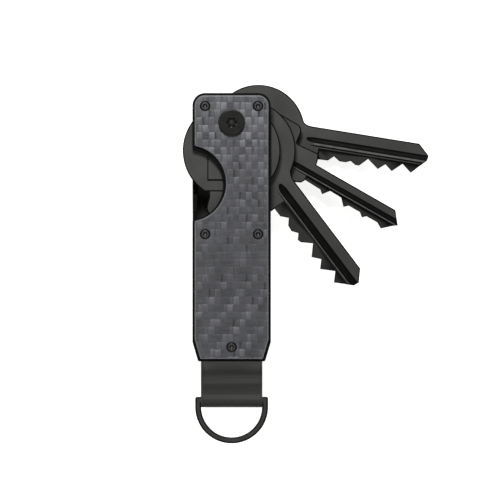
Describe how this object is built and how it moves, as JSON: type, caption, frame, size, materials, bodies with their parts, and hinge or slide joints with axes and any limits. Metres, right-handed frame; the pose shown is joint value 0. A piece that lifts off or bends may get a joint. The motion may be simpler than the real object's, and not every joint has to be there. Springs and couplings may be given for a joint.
{
  "type": "key organiser",
  "caption": "Slim key organiser: keys swing out from a pivot between two carbon-faced covers with a thumb notch; a webbing tab at the tail carries a swivelling D-ring.",
  "frame": {"origin": "middle of the covers' rear face, which rests flat on a surface", "axes": "+Z out of the front cover, +Y along the covers towards the pivot end, +X towards the side that the keys swing out of"},
  "size_m": [0.0684, 0.0998, 0.0166],
  "materials": {
    "carbon_fibre": "2x2 twill carbon-fibre laminate, satin clear surface",
    "black_anodised": "black anodised, satin",
    "black_screw_steel": "black oxide steel, satin",
    "coated_key_metal": "matt black-grey coating, fine grain",
    "washer_nylon": "black nylon, matt",
    "webbing": "tight black nylon webbing, ribbed selvedges",
    "ring_metal": "black-grey coated steel, satin"
  },
  "bodies": {
    "covers": {"front_carbon_plate": "carbon_fibre", "front_liner": "black_anodised", "rear_liner": "black_anodised", "rear_carbon_plate": "carbon_fibre", "side_spine": "black_anodised", "front_screw_top_left": "black_screw_steel", "front_screw_top_right": "black_screw_steel", "front_screw_middle_left": "black_screw_steel", "front_screw_middle_right": "black_screw_steel", "front_screw_tail": "black_screw_steel", "rear_screw_top_left": "black_screw_steel", "rear_screw_top_right": "black_screw_steel", "rear_screw_middle_left": "black_screw_steel", "rear_screw_middle_right": "black_screw_steel", "rear_screw_tail": "black_screw_steel", "side_post": "black_screw_steel", "tail_post": "black_screw_steel", "pivot_barrel_nut": "black_screw_steel", "pivot_screw": "black_screw_steel", "key_washer_1": "washer_nylon", "key_washer_2": "washer_nylon", "key_washer_3": "washer_nylon", "key_washer_4": "washer_nylon", "key_washer_5": "washer_nylon", "front_clamp_block": "black_anodised", "rear_clamp_block": "black_anodised", "webbing_root": "webbing"},
    "key_a": {"key_a": "coated_key_metal"},
    "key_b": {"key_b": "coated_key_metal"},
    "key_c": {"key_c": "coated_key_metal"},
    "key_d": {"key_d": "coated_key_metal"},
    "tab": {"webbing_tab": "webbing"},
    "ring": {"d_ring": "ring_metal"}
  },
  "joints": [
    {"name": "key_a_swing", "type": "hinge", "parent": "covers", "child": "key_a", "pos_m": [0, 0.02905, 0], "axis": [0, 0, 1], "range_deg": [-80.85, 99.15]},
    {"name": "key_b_swing", "type": "hinge", "parent": "covers", "child": "key_b", "pos_m": [0, 0.02905, 0], "axis": [0, 0, 1], "range_deg": [-60.3, 119.7]},
    {"name": "key_c_swing", "type": "hinge", "parent": "covers", "child": "key_c", "pos_m": [0, 0.02905, 0], "axis": [0, 0, 1], "range_deg": [-37.1, 142.9]},
    {"name": "key_d_swing", "type": "hinge", "parent": "covers", "child": "key_d", "pos_m": [0, 0.02905, 0], "axis": [0, 0, 1], "range_deg": [0, 180]},
    {"name": "tab_flex", "type": "hinge", "parent": "covers", "child": "tab", "pos_m": [0, -0.03855, 0.0079], "axis": [1, 0, 0], "range_deg": [-30, 30], "stiffness_Nm_per_rad": 0.02},
    {"name": "ring_swivel", "type": "hinge", "parent": "tab", "child": "ring", "pos_m": [0, -0.04795, 0.0079], "axis": [1, 0, 0], "range_deg": [-110, 110]}
  ]
}
